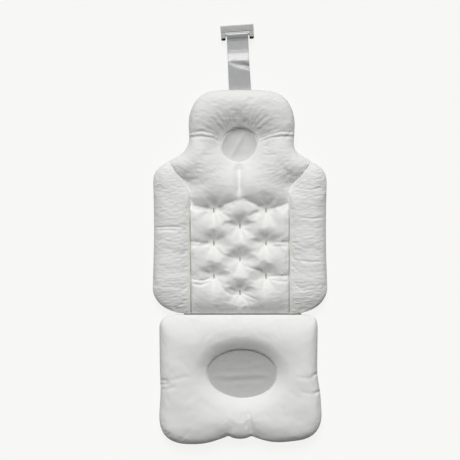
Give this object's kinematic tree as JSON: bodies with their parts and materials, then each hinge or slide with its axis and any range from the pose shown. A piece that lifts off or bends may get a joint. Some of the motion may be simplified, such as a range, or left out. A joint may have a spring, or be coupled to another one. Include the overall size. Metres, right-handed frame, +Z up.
{
  "type": "bath pillow",
  "caption": "Padded bath support for an infant: quilted back rest with head hollow, hinged seat pad with oval hollow, and webbing strap with a plastic tub-rim hook.",
  "frame": {"origin": "middle of the base, on the surface that the pad lies on, below the middle of the whole length from seat to hook", "axes": "+Z up out of the padded face; +Y from the seat pad to the head and the hook; +X across the pad, to the right with the head away from the viewer"},
  "size_m": [0.309, 0.7486, 0.046],
  "materials": {
    "cover_cloth": "matte",
    "recess_cloth": "satin",
    "fibre_padding": "matte",
    "seam_tape": "matte",
    "tuft_thread": "matte",
    "webbing": "satin",
    "hook_plastic": "satin",
    "tip_rubber": "matte"
  },
  "bodies": {
    "back_rest": {"back_rest_backing": "cover_cloth", "centre_fill": "fibre_padding", "left_bolster_fill": "fibre_padding", "right_bolster_fill": "fibre_padding", "back_centre_cover": "cover_cloth", "left_bolster_cover": "cover_cloth", "right_bolster_cover": "cover_cloth", "left_panel_seam": "seam_tape", "right_panel_seam": "seam_tape", "head_recess_panel": "recess_cloth", "strap_anchor": "webbing", "tuft_1": "tuft_thread", "tuft_2": "tuft_thread", "tuft_3": "tuft_thread", "tuft_4": "tuft_thread", "tuft_5": "tuft_thread", "tuft_6": "tuft_thread", "tuft_7": "tuft_thread", "tuft_8": "tuft_thread", "tuft_9": "tuft_thread", "hinge_strip": "cover_cloth"},
    "seat": {"seat_backing": "cover_cloth", "seat_fill": "fibre_padding", "seat_cover": "cover_cloth", "seat_recess_panel": "recess_cloth"},
    "strap": {"strap_webbing": "webbing", "strap_stitch": "tuft_thread"},
    "hook": {"hook_frame": "hook_plastic", "hook_bar": "hook_plastic", "hook_tip_left": "tip_rubber", "hook_tip_right": "tip_rubber"}
  },
  "joints": [
    {"name": "seat_fold", "type": "hinge", "parent": "back_rest", "child": "seat", "pos_m": [0, -0.14233, 0.018], "axis": [-1, 0, 0], "range_deg": [-40, 90]},
    {"name": "strap_fold", "type": "hinge", "parent": "back_rest", "child": "strap", "pos_m": [-0.0009, 0.26127, 0.018], "axis": [0.9993, 0.0384, 0], "range_deg": [-100, 90]},
    {"name": "hook_pivot", "type": "hinge", "parent": "strap", "child": "hook", "pos_m": [-0.00456, 0.3565, 0.017], "axis": [0.9976, 0.0698, 0], "range_deg": [-90, 120]}
  ]
}
